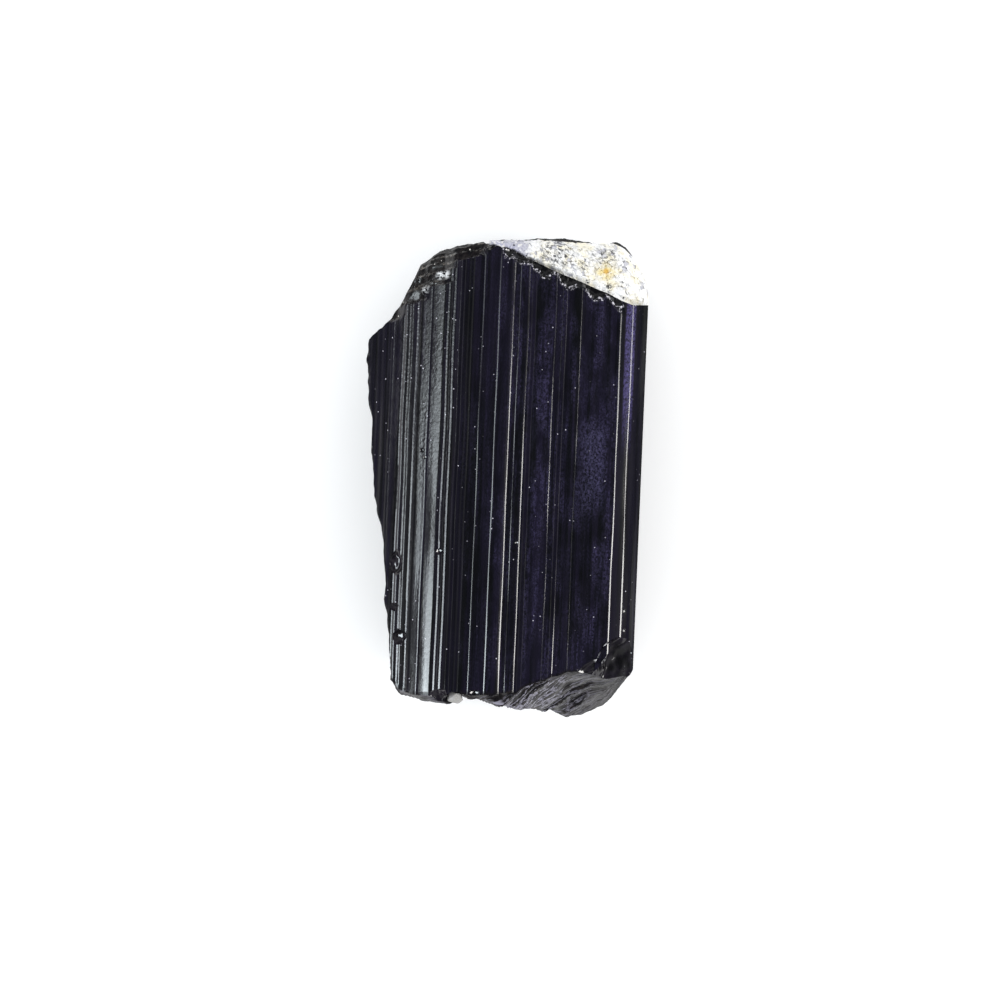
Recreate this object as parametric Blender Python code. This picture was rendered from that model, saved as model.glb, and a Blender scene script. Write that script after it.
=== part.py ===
"""A broken tourmaline crystal that lies on its side, with albite matrix on one end.

The crystal starts as a many-sided prism, longer than the specimen, whose c-axis runs along +Y. Its broken
faces are cut by blocks with one rough side: a far end and a near end that look along Y, and a long oblique
break on the -X side. +Z is up, and the origin is the middle of the footprint, on the surface that the
crystal lies on. The sizes below are in millimetres, and MM turns them into Blender's metres where a mesh
is made.
"""

import bmesh
import bpy
import math
from mathutils import Vector, noise

MM = 0.001

# The prism before it broke, and how far the cutting blocks reach past it
BLANK_LENGTH = 44.0
CUT_LENGTH = 46.0
CUT_WIDTH = 28.0
CUT_REACH = 26.0
CUT_BOTTOM, CUT_TOP = -1.0, 18.0
TOUCH_GAP = 0.3

# Cross-section of the prism, x and z, anticlockwise seen from the near (-Y) end. It lies on its widest lower
# face, and its faces meet at shallow angles, as the prism faces of tourmaline do.
SECTION = [
    (-6.8, 0.0), (6.6, 0.0), (9.5, 1.6), (11.2, 4.4), (11.8, 7.8), (11.9, 11.6), (11.85, 13.8),
    (11.2, 14.4), (10.4, 14.95), (9.5, 15.2), (5.5, 15.5), (2.0, 15.6), (-2.4, 15.45), (-4.5, 15.15),
    (-5.3, 14.8), (-8.6, 13.1), (-10.3, 11.6), (-12.6, 9.6), (-13.1, 7.8), (-12.4, 5.4), (-10.2, 2.2),
]

UPPER_SIDE_FROM = 9.0

# Outlines seen from above, x and y: where each broken end meets the top face, and its reach lower down
FAR_TOP = [
    (-13.5, 8.2), (-12.3, 10.1), (-10.4, 12.3), (-8.6, 14.1), (-7.1, 14.6), (-6.2, 15.6), (-5.0, 15.9),
    (-4.4, 17.5), (-3.4, 17.9), (-1.9, 18.3), (-1.2, 19.2), (2.6, 19.5), (8.3, 19.7), (12.5, 17.4),
]
FAR_REACH = [
    (-13.5, 8.6), (-12.4, 10.4), (-11.6, 11.5), (-9.9, 12.9), (-9.2, 13.9), (-8.4, 15.7), (-7.6, 17.6),
    (-6.0, 18.8), (-3.7, 19.4), (0.4, 19.9), (2.6, 20.1), (6.0, 20.6), (9.0, 20.9), (9.9, 20.4), (10.8, 19.4),
    (11.6, 18.4), (12.5, 17.0),
]
NEAR_TOP = [
    (-13.5, -17.0), (-9.0, -17.8), (-7.8, -18.9), (-5.7, -19.1), (-2.6, -18.8), (2.0, -18.7), (2.6, -18.1),
    (3.8, -17.4), (4.9, -17.0), (6.3, -16.6), (8.0, -16.8), (11.5, -16.6), (12.5, -15.2),
]
NEAR_REACH = [
    (-13.5, -17.4), (-9.0, -18.1), (-7.8, -19.3), (-5.7, -19.7), (-3.8, -19.9), (-2.2, -19.4), (-1.0, -19.6),
    (1.0, -20.0), (2.4, -20.0), (4.8, -20.4), (6.4, -20.8), (7.8, -20.8), (8.7, -20.4), (9.5, -19.9),
    (10.3, -19.1), (11.1, -18.0), (11.6, -17.3), (12.5, -15.4),
]
# The oblique break on the -X side, y and x: it runs in towards the near end
BREAK_EDGE = [
    (-21.0, -8.6), (-14.7, -9.0), (-11.3, -9.5), (-7.9, -9.7), (-4.5, -10.2), (-1.1, -10.8), (3.2, -11.3),
    (9.9, -12.35), (11.5, -12.2), (21.0, -13.6),
]

# Depth below the top face over which each broken end slopes out, and how far it then runs in again underneath
FAR_SLOPE_DEPTHS = [(-2.4, 1.1), (-1.6, 3.2)]
NEAR_SLOPE_DEPTHS = [(-12.0, 0.9), (1.0, 1.2), (4.0, 4.5), (8.0, 6.5), (12.5, 6.5)]
END_UNDERCUT = 0.16
BREAK_UNDERCUT = 0.20
RELIEF = 0.30
RELIEF_WAVELENGTH = 3.0
RELIEF_FALLOFF, RELIEF_LACUNARITY, RELIEF_OCTAVES = 0.8, 2.1, 3

# The albite matrix: the edge that it shows on the top face, its outer edge, and the slanted seat under it
MATRIX_EDGE = [
    (-2.2, 19.2), (-0.9, 18.9), (0.4, 18.6), (1.3, 18.1), (2.4, 17.7), (4.0, 17.0), (6.0, 16.3), (7.5, 15.7),
    (8.4, 15.4), (9.6, 14.8), (10.5, 14.5), (12.5, 14.7),
]
MATRIX_OUTER = [
    (-2.2, 19.5), (0.4, 19.7), (2.6, 19.9), (5.5, 19.9), (8.8, 20.1), (9.6, 19.8), (10.8, 18.9),
    (11.4, 18.2), (11.9, 17.1), (12.15, 15.5),
]
MATRIX_LEFT, MATRIX_RIGHT = -1.7, 12.15
MATRIX_EDGE_LEAN = math.radians(21)
SEAT_TOP = 14.5
SEAT_DIP = 1.0
SEAT_WRAP_FROM = 9.4
SEAT_WRAP = 0.75
SEAT_RUN_OUT = 6.0
SEAT_RIGHT = 13.4
SEAT_LIFT = 1.5
MATRIX_RISE = 0.95
MATRIX_CROWN = 0.5
MATRIX_LUMP, MATRIX_LUMP_WAVELENGTH = 0.25, 1.3
MATRIX_THINNEST = 0.25

# Chips knocked off the edges: name, centre, radii along the chip's own axes, and its turn about Z in degrees
CHIPS = [
    ("left_nick_upper", (-8.9, -8.0, 13.6), (0.95, 1.25, 0.95), 0),
    ("left_nick_middle", (-8.8, -11.75, 13.25), (0.60, 0.42, 0.50), 0),
    ("left_nick_lower", (-8.3, -14.3, 13.75), (0.85, 0.72, 0.80), 0),
    ("corner_shell", (10.9, -16.0, 15.9), (2.3, 3.2, 2.2), -28),
    ("corner_tongue", (8.2, -16.1, 15.6), (1.5, 0.50, 0.60), 34),
    ("near_nick", (-4.6, -19.3, 15.5), (1.05, 1.00, 1.0), 0),
]
CHIP_ROUGHNESS = 0.16

# The small albite grain on the near end, and the pocket that it sits in
CHIP_CENTRE = (-3.1, -19.15, 14.5)
CHIP_SIZE = (0.70, 0.56, 0.60)
CHIP_POCKET = 0.40
PEBBLE_SEED = 7
PEBBLE_ROUGHNESS = 0.15
PEBBLE_FREQUENCY = 1.7

# Columns and rows of the grids that the rough faces are made of
END_GRID = (20, 13)
BREAK_GRID = (26, 10)
SEAT_GRID = (22, 12)
CRUST_GRID = (26, 8)

# Colour, roughness and index of refraction
TOURMALINE_LOOK = ((0.020, 0.017, 0.040), 0.16, 1.63)
ALBITE_LOOK = ((0.82, 0.80, 0.75), 0.55, 1.53)


def clear_scene():
    for obj in list(bpy.data.objects):
        bpy.data.objects.remove(obj, do_unlink=True)


def new_collection(name):
    collection = bpy.data.collections.new(name)
    bpy.context.scene.collection.children.link(collection)
    return collection


def along(outline, x):
    """The outline's second value at x, on straight lines between its points."""
    for (x0, y0), (x1, y1) in zip(outline, outline[1:]):
        if x <= x1:
            return y0 + (y1 - y0) * max(0.0, min(1.0, (x - x0) / (x1 - x0)))
    return outline[-1][1]


def smooth(t):
    t = max(0.0, min(1.0, t))
    return t * t * (3.0 - 2.0 * t)


def relief(x, y, z):
    """Rough broken relief at a place."""
    where = Vector((x, y, z)) / RELIEF_WAVELENGTH
    return RELIEF * noise.fractal(where, RELIEF_FALLOFF, RELIEF_LACUNARITY, RELIEF_OCTAVES)


def section_top(x):
    """Height of the prism's upper side at x."""
    return along(sorted(point for point in SECTION if point[1] > UPPER_SIDE_FROM), x)


def slope_out(x, z, top, reach, depth, sign):
    """Y of a broken end: its top outline at the top face, and its full reach at a depth below that."""
    below = section_top(x) - z
    share = smooth(below / depth)
    under = END_UNDERCUT * max(0.0, below - depth)
    return along(top, x) * (1 - share) + along(reach, x) * share - sign * under


def far_end(x, z):
    y = slope_out(x, z, FAR_TOP, FAR_REACH, along(FAR_SLOPE_DEPTHS, x), 1)
    return y + relief(x, 0.0, z)


def near_end(x, z):
    y = slope_out(x, z, NEAR_TOP, NEAR_REACH, along(NEAR_SLOPE_DEPTHS, x), -1)
    return y + relief(x, 9.0, z)


def oblique_break(y, z):
    edge = along(BREAK_EDGE, y)
    return edge + BREAK_UNDERCUT * max(0.0, section_top(edge) - z) + relief(17.0, y, z)


def seat_height(x, y):
    """Height of the sloping face that the matrix grew on."""
    behind = max(0.0, y - along(MATRIX_EDGE, x)) * math.cos(MATRIX_EDGE_LEAN)
    wrap = SEAT_WRAP * max(0.0, x - SEAT_WRAP_FROM) ** 2
    return SEAT_TOP - SEAT_DIP * behind - wrap


def matrix_top(x, y):
    low, high = along(MATRIX_EDGE, x), along(MATRIX_OUTER, x)
    across = max(0.0, min(1.0, (y - low) / max(0.1, high - low)))
    crown = MATRIX_CROWN * math.sin(math.pi * across)
    lump = MATRIX_LUMP * noise.noise(Vector((x, y, 4.0)) / MATRIX_LUMP_WAVELENGTH)
    return seat_height(x, y) + MATRIX_RISE + crown + lump


def make_object(name, bm, collection):
    bmesh.ops.recalc_face_normals(bm, faces=bm.faces[:])
    mesh = bpy.data.meshes.new(name)
    bm.to_mesh(mesh)
    bm.free()
    obj = bpy.data.objects.new(name, mesh)
    collection.objects.link(obj)
    return obj


def as_cutter(obj):
    obj.hide_render = True
    obj.display_type = "WIRE"
    return obj


def block_between(columns, rows, first, second):
    """A closed block whose two large sides are grids: first and second give each grid point's place."""
    bm = bmesh.new()
    bmesh.ops.create_grid(bm, x_segments=columns, y_segments=rows, size=1.0)
    spots = {vert: ((vert.co.x + 1) / 2, (vert.co.y + 1) / 2) for vert in bm.verts}
    extruded = bmesh.ops.extrude_face_region(bm, geom=bm.faces[:], use_keep_orig=True)
    copies = [item for item in extruded["geom"] if isinstance(item, bmesh.types.BMVert)]
    for vert in copies:
        u, v = (vert.co.x + 1) / 2, (vert.co.y + 1) / 2
        vert.co = Vector(second(u, v)) * MM
    for vert, (u, v) in spots.items():
        vert.co = Vector(first(u, v)) * MM
    return bm


def prism_blank(collection):
    """The whole prism before anything broke off: its section, extruded along the c-axis."""
    bm = bmesh.new()
    corners = [bm.verts.new((x * MM, -BLANK_LENGTH / 2 * MM, z * MM)) for x, z in SECTION]
    face = bm.faces.new(corners)
    extruded = bmesh.ops.extrude_face_region(bm, geom=[face])
    moved = [item for item in extruded["geom"] if isinstance(item, bmesh.types.BMVert)]
    bmesh.ops.translate(bm, verts=moved, vec=(0, BLANK_LENGTH * MM, 0))
    return make_object("tourmaline_crystal", bm, collection)


def end_cutter(name, end, outside, collection):
    """A block that removes all beyond a broken end, which is a height field along Y over x and z."""
    def spot(u, v):
        return CUT_WIDTH * (u - 0.5), CUT_BOTTOM + (CUT_TOP - CUT_BOTTOM) * v

    def face(u, v):
        x, z = spot(u, v)
        return (x, end(x, z), z)

    def back(u, v):
        x, z = spot(u, v)
        return (x, outside, z)

    return as_cutter(make_object(name, block_between(*END_GRID, face, back), collection))


def break_cutter(collection):
    """A block that removes all outside the oblique break, which is a height field along X over y and z."""
    def spot(u, v):
        return CUT_LENGTH * (u - 0.5), CUT_BOTTOM + (CUT_TOP - CUT_BOTTOM) * v

    def face(u, v):
        y, z = spot(u, v)
        return (oblique_break(y, z), y, z)

    def back(u, v):
        return (-CUT_REACH, *spot(u, v))

    return as_cutter(make_object("oblique_break_cutter", block_between(*BREAK_GRID, face, back), collection))


def matrix_spot(u, v, start, end, front, back):
    """A plan position in the matrix's outline: u runs along the edge and v from the top face outwards."""
    x = start + (end - start) * u
    y0, y1 = along(MATRIX_EDGE, x) - front, along(MATRIX_OUTER, x) + back
    return x, y0 + (y1 - y0) * v


def seat_cutter(collection):
    def spot(u, v):
        return matrix_spot(u, v, MATRIX_LEFT - TOUCH_GAP, SEAT_RIGHT, TOUCH_GAP, SEAT_RUN_OUT)

    def floor(u, v):
        x, y = spot(u, v)
        return (x, y, seat_height(x, y))

    bm = block_between(*SEAT_GRID, floor, lambda u, v: (*spot(u, v), CUT_TOP))
    return as_cutter(make_object("matrix_seat_cutter", bm, collection))


def matrix_crust(collection):
    """The lumpy crust, which keeps a small gap to its seat."""
    lift = TOUCH_GAP * SEAT_LIFT

    def under(u, v):
        x, y = matrix_spot(u, v, MATRIX_LEFT, MATRIX_RIGHT, 0.0, 0.0)
        return (x, y, seat_height(x, y) + lift)

    def over(u, v):
        x, y = matrix_spot(u, v, MATRIX_LEFT, MATRIX_RIGHT, 0.0, 0.0)
        return (x, y, max(matrix_top(x, y), seat_height(x, y) + lift + MATRIX_THINNEST))

    return make_object("albite_matrix", block_between(*CRUST_GRID, under, over), collection)


def pebble(name, centre, size, turn, seed, roughness, collection):
    """A small rounded lump: an icosphere, scaled and roughened, then turned about Z."""
    bm = bmesh.new()
    bmesh.ops.create_icosphere(bm, subdivisions=2, radius=1.0)
    for vert in bm.verts:
        swell = 1 + roughness * noise.noise(vert.co * PEBBLE_FREQUENCY + Vector((seed, seed, seed)))
        vert.co = Vector(vert.co[i] * size[i] * swell for i in range(3)) * MM
    lump = make_object(name, bm, collection)
    lump.location = Vector(centre) * MM
    lump.rotation_euler = (0.0, 0.0, math.radians(turn))
    return lump


def cut(target, cutter):
    modifier = target.modifiers.new(cutter.name, "BOOLEAN")
    modifier.operation = "DIFFERENCE"
    modifier.solver = "EXACT"
    modifier.object = cutter


def principled(name, colour, roughness, ior):
    material = bpy.data.materials.new(name)
    material.use_nodes = True
    shader = material.node_tree.nodes["Principled BSDF"]
    shader.inputs["Base Color"].default_value = (*colour, 1.0)
    shader.inputs["Roughness"].default_value = roughness
    shader.inputs["Metallic"].default_value = 0.0
    shader.inputs["IOR"].default_value = ior
    return material


def main():
    clear_scene()
    parts = new_collection("tourmaline_specimen")
    cutters = new_collection("cutters")

    crystal = prism_blank(parts)
    cut(crystal, end_cutter("far_end_cutter", far_end, CUT_REACH, cutters))
    cut(crystal, end_cutter("near_end_cutter", near_end, -CUT_REACH, cutters))
    cut(crystal, break_cutter(cutters))
    cut(crystal, seat_cutter(cutters))
    for seed, (name, centre, size, turn) in enumerate(CHIPS):
        cut(crystal, as_cutter(pebble(name, centre, size, turn, seed, CHIP_ROUGHNESS, cutters)))
    pocket = [size + CHIP_POCKET for size in CHIP_SIZE]
    cut(crystal, as_cutter(pebble("chip_pocket", CHIP_CENTRE, pocket, 0, PEBBLE_SEED, 0.0, cutters)))
    crystal.data.materials.append(principled("tourmaline", *TOURMALINE_LOOK))

    matrix = matrix_crust(parts)
    matrix.data.materials.append(principled("albite", *ALBITE_LOOK))

    chip = pebble("albite_chip", CHIP_CENTRE, CHIP_SIZE, 0, PEBBLE_SEED, PEBBLE_ROUGHNESS, parts)
    chip.data.materials.append(matrix.data.materials[0])


main()
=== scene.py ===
"""The looks of a broken tourmaline crystal with albite on one end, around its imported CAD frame.

The crystal is one fine mesh: its striated section runs along the c-axis (+Y) between two rough broken ends,
and an oblique break takes off its -X side. Sizes are in millimetres, and MM turns them into Blender's metres.
"""

import math

import bmesh
import bpy
import numpy as np
from mathutils import Matrix, Vector, geometry, noise


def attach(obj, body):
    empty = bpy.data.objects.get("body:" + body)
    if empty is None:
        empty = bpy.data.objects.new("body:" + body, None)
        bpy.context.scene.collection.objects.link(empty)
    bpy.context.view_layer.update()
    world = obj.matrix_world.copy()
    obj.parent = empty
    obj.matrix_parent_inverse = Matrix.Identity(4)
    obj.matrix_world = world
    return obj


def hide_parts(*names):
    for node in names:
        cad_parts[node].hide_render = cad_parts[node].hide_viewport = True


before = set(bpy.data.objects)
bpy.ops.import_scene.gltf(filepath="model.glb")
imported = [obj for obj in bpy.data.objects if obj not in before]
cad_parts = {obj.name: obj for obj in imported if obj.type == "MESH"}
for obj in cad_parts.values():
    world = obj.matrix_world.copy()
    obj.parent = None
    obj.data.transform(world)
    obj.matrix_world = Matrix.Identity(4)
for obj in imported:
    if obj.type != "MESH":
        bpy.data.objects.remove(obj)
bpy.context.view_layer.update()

MM = 0.001

# ---------------------------------------------------------------- shape shared with the CAD model
SECTION = [
    (-6.8, 0.0), (6.6, 0.0), (9.5, 1.6), (11.2, 4.4), (11.8, 7.8), (11.9, 11.6), (11.85, 13.8),
    (11.2, 14.4), (10.4, 14.95), (9.5, 15.2), (5.5, 15.5), (2.0, 15.6), (-2.4, 15.45), (-4.5, 15.15),
    (-5.3, 14.8), (-8.6, 13.1), (-10.3, 11.6), (-12.6, 9.6), (-13.1, 7.8), (-12.4, 5.4), (-10.2, 2.2),
]
TOP = max(z for _, z in SECTION)
TOP_LEFT, TOP_RIGHT = (-12.6, 9.6), (11.85, 13.8)
FAR_TOP = [
    (-13.5, 8.2), (-12.3, 10.1), (-10.4, 12.3), (-8.6, 14.1), (-7.1, 14.6), (-6.2, 15.6), (-5.0, 15.9),
    (-4.4, 17.5), (-3.4, 17.9), (-1.9, 18.3), (-1.2, 19.2), (2.6, 19.5), (8.3, 19.7), (12.5, 17.4),
]
FAR_REACH = [
    (-13.5, 8.6), (-12.4, 10.4), (-11.6, 11.5), (-9.9, 12.9), (-9.2, 13.9), (-8.4, 15.7), (-7.6, 17.6),
    (-6.0, 18.8), (-3.7, 19.4), (0.4, 19.9), (2.6, 20.1), (6.0, 20.5), (9.0, 20.7), (9.9, 20.3), (10.8, 19.4),
    (11.6, 18.4), (12.5, 17.0),
]
NEAR_TOP = [
    (-13.5, -17.0), (-9.0, -17.8), (-7.8, -18.9), (-5.7, -19.1), (-2.6, -18.8), (2.0, -18.7), (2.6, -18.1),
    (3.8, -17.4), (4.9, -17.0), (6.3, -16.6), (8.0, -16.8), (11.5, -16.6), (12.5, -15.2),
]
NEAR_REACH = [
    (-13.5, -17.4), (-9.0, -18.1), (-7.8, -19.3), (-5.7, -19.7), (-3.8, -19.9), (-2.2, -19.4), (-1.0, -19.6),
    (1.0, -20.0), (2.4, -20.0), (4.8, -20.4), (6.4, -20.65), (7.8, -20.65), (8.7, -20.3), (9.5, -19.9),
    (10.3, -19.1), (11.1, -18.0), (11.6, -17.3), (12.5, -15.4),
]
BREAK_EDGE = [
    (-21.0, -8.6), (-14.7, -9.0), (-11.3, -9.5), (-7.9, -9.7), (-4.5, -10.2), (-1.1, -10.8), (3.2, -11.3),
    (9.9, -12.15), (11.5, -12.0), (21.0, -13.6),
]
FAR_SLOPE_DEPTH = 3.2
NEAR_SLOPE_DEPTHS = [(-12.0, 0.9), (1.0, 1.2), (4.0, 4.5), (8.0, 6.5), (12.5, 6.5)]
NEAR_RIDGE_RISE = 0.42
END_UNDERCUT = 0.16
BREAK_UNDERCUT = 0.20
RELIEF = 0.30
RELIEF_WAVELENGTH = 3.0
RELIEF_FALLOFF, RELIEF_LACUNARITY, RELIEF_OCTAVES = 0.8, 2.1, 3

MATRIX_EDGE = [
    (-2.2, 19.2), (-0.9, 18.9), (0.4, 18.6), (1.3, 18.1), (2.4, 17.7), (4.0, 17.0), (6.0, 16.3), (7.5, 15.7),
    (8.4, 15.4), (9.6, 14.8), (10.5, 14.5), (12.5, 14.7),
]
MATRIX_OUTER = [
    (-2.2, 19.5), (0.4, 19.7), (2.6, 19.9), (5.5, 19.9), (8.8, 20.1), (9.6, 19.8), (10.8, 18.9),
    (11.4, 18.2), (11.9, 17.1), (12.15, 15.5),
]
MATRIX_LEFT, MATRIX_RIGHT = -1.8, 12.10
MATRIX_HIGHEST = 15.80
MATRIX_EDGE_LEAN = math.radians(21)
SEAT_TOP = 14.5
SEAT_DIP = 1.0
SEAT_WRAP_FROM = 9.4
SEAT_WRAP = 0.75
MATRIX_RISE = 0.95
MATRIX_CROWN = 0.5
CHIP_CENTRE = (-3.1, -19.15, 14.5)
CHIP_SIZE = (0.70, 0.56, 0.60)

# ---------------------------------------------------------------- fine shape of the prism
# Zones of the top, from the left: right end, swing of the fine facets in degrees, least and most width.
ZONES = [
    (-8.66, 2.0, 0.12, 0.45), (-6.40, 13.0, 0.08, 0.19), (-5.33, 2.6, 0.08, 0.24), (-4.45, 14.0, 0.08, 0.16),
    (-2.60, 7.0, 0.08, 0.22), (9.50, 5.0, 0.09, 0.36), (10.40, 4.0, 0.10, 0.22), (11.20, 3.0, 0.10, 0.20),
    (11.85, 1.5, 0.10, 0.25),
]
# Share of its zone's swing that a facet gets, the least piece kept beside a line, and the reach of a slope.
SWING_SHARES, LEAST_FACET, SLOPE_REACH = (0.5, 1.3), 0.02, 0.05
# Facets that catch a light: centre x, width and slope in degrees. A facet of positive slope faces -X.
LINES = [
    (-10.03, 0.09, 32), (-9.61, 0.11, 31), (-8.76, 0.08, 28), (-8.52, 0.09, 27), (-8.25, 0.08, 26),
    (-8.00, 0.09, 28), (-7.55, 0.16, 27),
    (-7.00, 0.18, 29.0), (-6.80, 0.18, 29.2), (-6.62, 0.18, 29.2), (-6.48, 0.09, 27.5), (-6.33, 0.18, 12),
    (-6.14, 0.18, 30.5), (-5.95, 0.18, 30.1), (-5.77, 0.18, 29.6), (-5.58, 0.18, 28.2), (-4.98, 0.09, 27),
    (-4.43, 0.08, 25),
    (-4.01, 0.07, 25), (-3.68, 0.06, 23), (-3.27, 0.06, 23), (-2.94, 0.05, 24), (-2.05, 0.10, 25),
    (-0.70, 0.10, 26), (0.33, 0.06, -22), (0.46, 0.13, -27), (1.00, 0.05, 23),
    (1.72, 0.12, -27), (2.01, 0.05, -23), (2.35, 0.05, -23), (4.05, 0.07, -24), (4.60, 0.05, -22),
    (4.95, 0.06, -23), (6.20, 0.06, -23), (9.58, 0.12, -27), (10.57, 0.13, -27),
]
STRIATION_SEED = 11
# A line of a width in this range is crowned: its halves lean this many degrees to either side of its slope,
# so that it glints all along.
CROWNED_WIDTHS, LINE_CROWN = (0.085, 0.165), 3.0
DRIFT_WINDOW, DRIFT_STEP, DRIFT_ROUNDS = 1.3, 0.05, 4
DETAIL_FADE = 0.3
LEDGED_COLUMN = 0.13
SIDE_SAMPLE = 0.23
SIDE_GROOVE = 0.04
# Rows along the wall: share of its length where each stretch ends, and the rows in it.
WALL_STRETCHES = [(0.86, 105), (1.0, 55)]
LINE_WANDER = 0.07
LINE_SWELL = 0.16
CAP_SPACING_UPPER, CAP_SPACING_LOWER = 0.16, 0.30
CAP_UPPER_FROM = 8.0
CAP_MARGIN = 0.08
SHARP = math.radians(11)

# The far end's left part steps down in ledges: y of each riser at x = 0, its height, and x where it runs out.
LEDGES = [
    (14.6, 0.14, -8.6), (15.7, 0.22, -6.6), (16.75, 0.26, -4.7), (17.1, 0.18, -4.9), (17.9, 0.22, -4.3),
    (18.6, 0.26, -1.8), (19.15, 0.20, -1.6), (19.7, 0.20, -1.6),
]
LEDGES_END, LEDGES_FADE, LEDGE_TAPER = -1.6, 0.8, 0.9
LEDGE_LEAN, LEDGE_WAVE, LEDGE_RISER, LEDGE_LIP = 0.20, 0.22, 0.10, 0.11
LEDGE_SLOPE, LEDGE_LUMP = 0.03, 0.06
# Smooth spots on the ledges that tip back and catch a light: x, y and half lengths along x and y.
GLINTS = [(-5.65, 16.45, 0.55, 0.30), (-5.0, 16.6, 0.15, 0.20), (-4.75, 16.1, 0.10, 0.14)]
GLINT_TIP = 0.09
LEDGED_SHARE, LEDGED_DEPTH = 0.86, 1.1
# The band beside the matrix, which dips and is painted black as shade: its depth and width, and where it
# starts and stops along x, with the fades.
BAND_DEPTH, BAND_WIDTH = 0.40, 0.85
BAND_LEFT, BAND_LEFT_FADE, BAND_RIGHT, BAND_RIGHT_FADE = -0.8, 1.2, 9.8, 0.8
# Wandering edges: depth, waves a millimetre and seed of each wave of noise.
BAND_RAGGED = [(0.7, 0.9, 6.0), (0.35, 2.6, 1.0)]
CRUST_RAGGED = [(0.13, 1.9, 5.0), (0.07, 5.0, 2.0)]
# Ridges of the broken faces: size, depth and seed.
LEDGE_RIDGES = (0.45, 0.03, 3.0)
FAR_RIDGES, FAR_FINE_RIDGES = (1.0, 0.12, 3.0), (0.5, 0.05, 5.0)
NEAR_RIDGES, NEAR_FINE_RIDGES = (1.3, 0.27, 8.0), (0.5, 0.07, 2.0)
BREAK_RIDGES, BREAK_FINE_RIDGES = (1.5, 0.30, 4.0), (0.5, 0.08, 7.0)
RIDGE_BEND, RIDGE_GAIN = 1.2, 2.2

# Conchoidal bites: centre, radii along the bite's own axes, turn about Z in degrees, its ball's subdivisions,
# and how far in from its wall the flats stand, or 0 for a bite without flats.
BITES = [
    ((-8.9, -8.0, 13.6), (0.95, 1.25, 0.95), 0, 5, 0),
    ((-8.8, -11.75, 13.25), (0.60, 0.42, 0.50), 0, 4, 0),
    ((-8.3, -14.3, 13.75), (0.85, 0.72, 0.80), 0, 4, 0.02),
    ((10.9, -16.0, 15.9), (2.3, 3.2, 2.2), -28, 6, 0),
    ((9.2, -14.9, 15.1), (0.35, 1.00, 0.40), -30, 4, 0.06),
    ((8.2, -16.1, 15.6), (1.50, 0.50, 0.60), 34, 5, 0.03),
    ((-4.6, -19.3, 15.5), (1.05, 1.00, 1.0), 0, 5, 0),
    ((-1.5, -18.6, 15.5), (0.45, 0.25, 0.30), 0, 4, 0.02),
    ((-3.1, -19.4, 14.9), (1.00, 0.85, 1.00), 0, 4, 0),
    ((-4.97, -6.9, 15.05), (0.30, 0.30, 0.30), 0, 3, 0.02),
    ((-6.75, 1.6, 14.10), (0.22, 0.22, 0.22), 0, 3, 0.02),
    ((-6.5, 1.0, 14.25), (0.16, 0.16, 0.16), 0, 3, 0.02),
    ((1.55, -5.85, 15.63), (0.16, 0.16, 0.16), 0, 3, 0.02),
    ((11.0, -12.9, 14.75), (0.22, 0.28, 0.22), 0, 3, 0.02),
    ((10.9, -11.3, 14.75), (0.16, 0.22, 0.16), 0, 3, 0.02),
]
BITE_ROUGHNESS = 0.16
BITE_RIPPLE, BITE_RIPPLES = 0.004, 12.0
# Directions into the crystal of a bite's flats, which face the softboxes.
BITE_FLATS = [Vector((0.454, 0.06, -0.89)), Vector((-0.454, 0.06, -0.89))]


def interp(outline, x):
    xs, ys = zip(*outline)
    return np.interp(x, xs, ys)


def smooth(t):
    t = np.clip(t, 0.0, 1.0)
    return t * t * (3.0 - 2.0 * t)


UPPER_SIDE = SECTION[SECTION.index(TOP_RIGHT):SECTION.index(TOP_LEFT) + 1][::-1]


def section_top(x):
    return interp(UPPER_SIDE, x)


def each(function, x, y, z):
    """Values of a function of a place, for whole columns of coordinates."""
    x, y, z = np.broadcast_arrays(*(np.asarray(column, float) for column in (x, y, z)))
    values = [function(Vector(place)) for place in zip(x.ravel(), y.ravel(), z.ravel())]
    return np.array(values).reshape(x.shape)


def coarse_relief(x, y, z):
    """The relief that the CAD solid has too."""
    def at(place):
        return noise.fractal(place / RELIEF_WAVELENGTH, RELIEF_FALLOFF, RELIEF_LACUNARITY, RELIEF_OCTAVES)
    return RELIEF * each(at, x, y, z)


def hackle(x, y, z, size, depth, seed):
    """Depth of a broken surface under its sharp ridges, from 0 to about the given depth."""
    def at(place):
        place = place / size + Vector((seed, seed, seed))
        bend = noise.noise(place * 0.5) * RIDGE_BEND
        return min(1.0, abs(noise.noise(place + Vector((bend, bend, bend)))) * RIDGE_GAIN)
    return depth * each(at, x, y, z)


def ragged(x, waves):
    """How far an edge wanders at x."""
    return sum(depth * each(noise.noise, x * rate, 0.0, seed) for depth, rate, seed in waves)


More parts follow.
